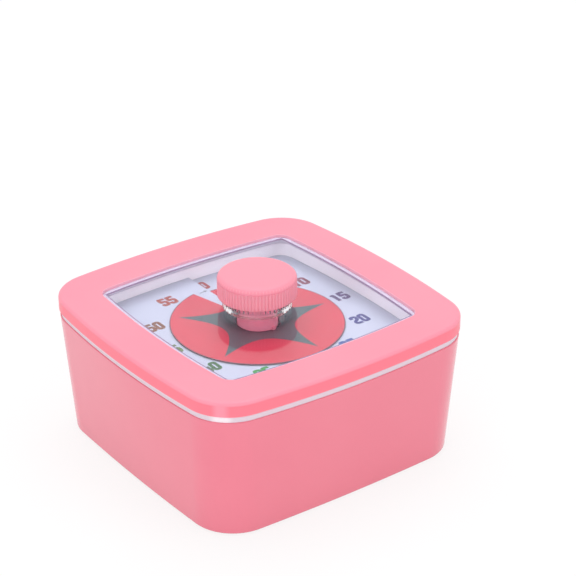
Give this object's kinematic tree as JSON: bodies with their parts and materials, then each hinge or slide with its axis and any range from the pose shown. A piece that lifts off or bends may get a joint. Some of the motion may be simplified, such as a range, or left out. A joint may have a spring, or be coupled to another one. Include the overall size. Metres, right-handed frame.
{
  "type": "visual countdown timer",
  "caption": "Square desk countdown timer with a ribbed centre knob, a clear window, and a disc that comes up through a slit in the dial to show the time left.",
  "frame": {"origin": "centre of the bounding box at the back face that the timer lies on", "axes": "+Z is the way the dial looks, +Y points at 12 o'clock, +X at 3 o'clock"},
  "size_m": [0.1006, 0.1006, 0.0558],
  "materials": {
    "pink_shell": "glossy",
    "pink_bezel": "satin",
    "white_frame": "satin",
    "clear_lens": "clear",
    "white_dial": "matte",
    "red_disc": "satin",
    "steel": "bright",
    "natural_gear": "satin",
    "grey_case": "matte",
    "magnet": "satin",
    "copper": "enamelled",
    "nickel": "bright",
    "cell": "satin",
    "board_green": "satin",
    "black_plastic": "matte",
    "lead_red": "satin",
    "tin_can": "bright"
  },
  "bodies": {
    "case": {"rear_housing": "pink_shell", "mid_frame": "white_frame", "front_bezel": "pink_bezel", "lens": "clear_lens", "dial_plate": "white_dial", "stator": "steel", "motor_coil": "copper", "movement_base": "grey_case", "movement_cover": "grey_case", "movement_screws": "steel", "case_screws": "steel", "board_screws": "steel", "battery": "cell", "battery_contact": "nickel", "battery_spring": "nickel", "battery_leads": "lead_red", "motor_leads": "lead_red", "circuit_board": "board_green", "timer_chip": "black_plastic", "quartz_crystal": "tin_can", "capacitor": "black_plastic", "buzzer": "black_plastic", "switch_body": "nickel"},
    "knob": {"knob_cap": "pink_bezel", "knob_hub": "pink_shell", "centre_arbor": "steel", "clutch_washer": "steel"},
    "disc": {"time_disc": "red_disc"},
    "centre": {"centre_wheel": "natural_gear"},
    "third": {"third_wheel": "natural_gear"},
    "second": {"second_wheel": "natural_gear"},
    "first": {"first_wheel": "natural_gear"},
    "motor_rotor": {"rotor": "magnet"},
    "door": {"battery_door": "pink_shell"},
    "sound_switch": {"alarm_switch": "black_plastic"}
  },
  "joints": [
    {"name": "knob_turn", "type": "hinge", "parent": "case", "child": "knob", "pos_m": [0, 0, 0.05], "axis": [0, 0, -1], "range_deg": [-347, 13]},
    {"name": "disc_climb", "type": "slide", "parent": "knob", "child": "disc", "axis": [0, 0, 1], "range_m": [-0.00125, 0.00005]},
    {"name": "rotor_spin", "type": "hinge", "parent": "case", "child": "motor_rotor", "pos_m": [0.01425, 0.01106, 0.028], "axis": [0, 0, 1], "continuous": true},
    {"name": "first_spin", "type": "hinge", "parent": "case", "child": "first", "pos_m": [0.00633, 0.01898, 0.023], "axis": [0, 0, 1], "continuous": true},
    {"name": "second_spin", "type": "hinge", "parent": "case", "child": "second", "pos_m": [-0.00567, 0.01898, 0.026], "axis": [0, 0, 1], "continuous": true},
    {"name": "third_spin", "type": "hinge", "parent": "case", "child": "third", "pos_m": [-0.01247, 0.0072, 0.029], "axis": [0, 0, 1], "continuous": true},
    {"name": "centre_spin", "type": "hinge", "parent": "case", "child": "centre", "pos_m": [0, 0, 0.032], "axis": [0, 0, 1], "continuous": true},
    {"name": "door_swing", "type": "hinge", "parent": "case", "child": "door", "pos_m": [0, -0.0346, 0.001], "axis": [-1, 0, 0], "range_deg": [0, 95]},
    {"name": "sound_slide", "type": "slide", "parent": "case", "child": "sound_switch", "axis": [1, 0, 0], "range_m": [0, 0.003]}
  ],
  "couplings": [
    {"joint": "knob_turn", "follows": "disc_climb", "rad_per_m": 4833.2},
    {"joint": "first_spin", "follows": "rotor_spin", "ratio": -0.16667},
    {"joint": "second_spin", "follows": "rotor_spin", "ratio": 0.033333},
    {"joint": "third_spin", "follows": "rotor_spin", "ratio": -0.0044444},
    {"joint": "centre_spin", "follows": "rotor_spin", "ratio": 0.00055556}
  ]
}
